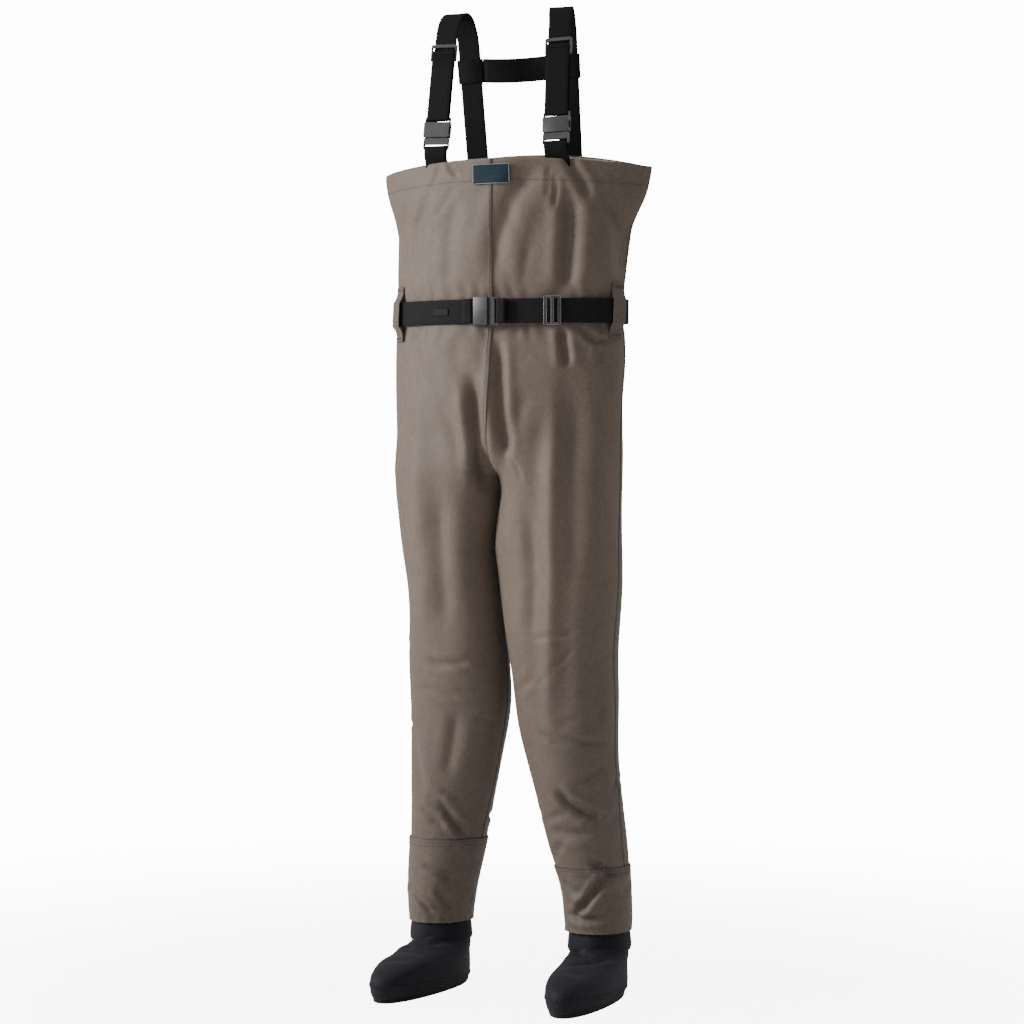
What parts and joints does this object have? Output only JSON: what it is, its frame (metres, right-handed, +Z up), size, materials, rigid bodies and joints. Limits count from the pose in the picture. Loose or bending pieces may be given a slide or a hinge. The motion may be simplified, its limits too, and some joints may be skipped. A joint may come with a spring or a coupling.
{
  "type": "chest waders",
  "caption": "Stocking-foot chest waders: shaped fabric bib and legs, gravel guards over neoprene booties, H-back suspenders with side-release buckles, belt in loops.",
  "frame": {"origin": "on the ground under the middle of the whole box", "axes": "+Z up, chest faces -Y, +X is the wearer's left"},
  "size_m": [0.4456, 0.2755, 1.5489],
  "materials": {
    "shell_fabric": "coated woven taupe",
    "lower_leg_fabric": "heavier coated woven taupe",
    "lining_fabric": "matt knit backing",
    "seam_tape": "translucent welded tape",
    "elastic": "knitted elastic",
    "neoprene": "nylon-faced closed-cell foam",
    "neoprene_sole": "dense closed-cell foam",
    "webbing": "woven polypropylene",
    "belt_webbing": "woven polypropylene",
    "moulded_plastic": "satin acetal",
    "label": "woven label",
    "stitching": "bar tack thread"
  },
  "bodies": {
    "root": {"bib_front_left": "shell_fabric", "bib_back_left": "shell_fabric", "bib_front_right": "shell_fabric", "bib_back_right": "shell_fabric", "rim_facing": "lining_fabric", "seam_tape_front": "seam_tape", "seam_tape_back": "seam_tape", "chest_label": "label", "shoulder_left_plug": "moulded_plastic", "plug_tab_left": "webbing", "front_webbing_left": "webbing", "shoulder_webbing_left": "webbing", "shoulder_right_plug": "moulded_plastic", "plug_tab_right": "webbing", "front_webbing_right": "webbing", "shoulder_webbing_right": "webbing", "belt_socket": "moulded_plastic", "belt_webbing": "belt_webbing", "belt_front_webbing": "belt_webbing", "belt_tail": "belt_webbing", "belt_label": "label", "belt_loop_left": "shell_fabric", "belt_loop_right": "shell_fabric", "belt_loop_back": "shell_fabric", "bar_tacks": "stitching"},
    "thigh_left": {"thigh_panel_left": "shell_fabric"},
    "shin_left": {"shin_panel_left": "lower_leg_fabric", "gravel_guard_left": "lower_leg_fabric", "hem_elastic_left": "elastic", "ankle_lining_left": "lining_fabric", "bootie_upper_left": "neoprene", "bootie_sole_left": "neoprene_sole", "neoprene_cuff_left": "neoprene"},
    "socket_left": {"shoulder_left_socket": "moulded_plastic"},
    "prong_a_left": {"shoulder_left_prong_a": "moulded_plastic"},
    "prong_b_left": {"shoulder_left_prong_b": "moulded_plastic"},
    "slider_left": {"shoulder_left_slider": "moulded_plastic"},
    "cross_strap": {"cross_sleeve_left": "webbing", "cross_sleeve_right": "webbing", "cross_strap": "webbing"},
    "thigh_right": {"thigh_panel_right": "shell_fabric"},
    "shin_right": {"shin_panel_right": "lower_leg_fabric", "gravel_guard_right": "lower_leg_fabric", "hem_elastic_right": "elastic", "ankle_lining_right": "lining_fabric", "bootie_upper_right": "neoprene", "bootie_sole_right": "neoprene_sole", "neoprene_cuff_right": "neoprene"},
    "socket_right": {"shoulder_right_socket": "moulded_plastic"},
    "prong_a_right": {"shoulder_right_prong_a": "moulded_plastic"},
    "prong_b_right": {"shoulder_right_prong_b": "moulded_plastic"},
    "slider_right": {"shoulder_right_slider": "moulded_plastic"},
    "belt_plug": {"belt_plug": "moulded_plastic"},
    "belt_prong_a": {"belt_prong_a": "moulded_plastic"},
    "belt_prong_b": {"belt_prong_b": "moulded_plastic"},
    "belt_tri_glide": {"belt_tri_glide": "moulded_plastic"}
  },
  "joints": [
    {"name": "hip_left", "type": "hinge", "parent": "root", "child": "thigh_left", "pos_m": [0.094, 0.0353, 0.832], "axis": [-1, 0, 0], "range_deg": [-10, 35]},
    {"name": "knee_left", "type": "hinge", "parent": "thigh_left", "child": "shin_left", "pos_m": [0.092, 0.0373, 0.5], "axis": [1, 0, 0], "range_deg": [0, 40]},
    {"name": "buckle_release_left", "type": "slide", "parent": "root", "child": "socket_left", "axis": [-0.0296, 0.1422, 0.9894], "range_m": [0, 0.026], "deforming": ["front_webbing_left"]},
    {"name": "prong_a_left_squeeze", "type": "hinge", "parent": "root", "child": "prong_a_left", "pos_m": [0.1138, -0.03594, 1.34953], "axis": [0.0043, 0.9898, -0.1421], "range_deg": [-6, 0]},
    {"name": "prong_b_left_squeeze", "type": "hinge", "parent": "root", "child": "prong_b_left", "pos_m": [0.08821, -0.03594, 1.34876], "axis": [0.0043, 0.9898, -0.1421], "range_deg": [0, 6]},
    {"name": "slider_adjust_left", "type": "slide", "parent": "root", "child": "slider_left", "axis": [0.0296, -0.1422, -0.9894], "range_m": [-0.002, 0.055], "deforming": ["front_webbing_left"]},
    {"name": "hip_right", "type": "hinge", "parent": "root", "child": "thigh_right", "pos_m": [-0.094, 0.0353, 0.832], "axis": [-1, 0, 0], "range_deg": [-10, 35]},
    {"name": "knee_right", "type": "hinge", "parent": "thigh_right", "child": "shin_right", "pos_m": [-0.092, 0.0373, 0.5], "axis": [1, 0, 0], "range_deg": [0, 40]},
    {"name": "buckle_release_right", "type": "slide", "parent": "root", "child": "socket_right", "axis": [0.0296, 0.1422, 0.9894], "range_m": [0, 0.026], "deforming": ["front_webbing_right"]},
    {"name": "prong_a_right_squeeze", "type": "hinge", "parent": "root", "child": "prong_a_right", "pos_m": [-0.08821, -0.03594, 1.34876], "axis": [-0.0043, 0.9898, -0.1421], "range_deg": [-6, 0]},
    {"name": "prong_b_right_squeeze", "type": "hinge", "parent": "root", "child": "prong_b_right", "pos_m": [-0.1138, -0.03594, 1.34953], "axis": [-0.0043, 0.9898, -0.1421], "range_deg": [0, 6]},
    {"name": "slider_adjust_right", "type": "slide", "parent": "root", "child": "slider_right", "axis": [-0.0296, -0.1422, -0.9894], "range_m": [-0.002, 0.055], "deforming": ["front_webbing_right"]},
    {"name": "cross_strap_height", "type": "slide", "parent": "root", "child": "cross_strap", "axis": [0, -0.1619, 0.9868], "range_m": [-0.05, 0.01]},
    {"name": "belt_release", "type": "slide", "parent": "root", "child": "belt_plug", "axis": [1, 0, 0], "range_m": [0, 0.026], "deforming": ["belt_front_webbing"]},
    {"name": "belt_prong_a_squeeze", "type": "hinge", "parent": "belt_plug", "child": "belt_prong_a", "pos_m": [-0.0025, -0.0603, 1.0878], "axis": [0, 1, 0], "range_deg": [-6, 0]},
    {"name": "belt_prong_b_squeeze", "type": "hinge", "parent": "belt_plug", "child": "belt_prong_b", "pos_m": [-0.0025, -0.0603, 1.0622], "axis": [0, 1, 0], "range_deg": [0, 6]},
    {"name": "tri_glide_adjust", "type": "slide", "parent": "root", "child": "belt_tri_glide", "axis": [0.9593, 0.2823, 0], "range_m": [-0.025, 0.002], "deforming": ["belt_front_webbing"]}
  ]
}
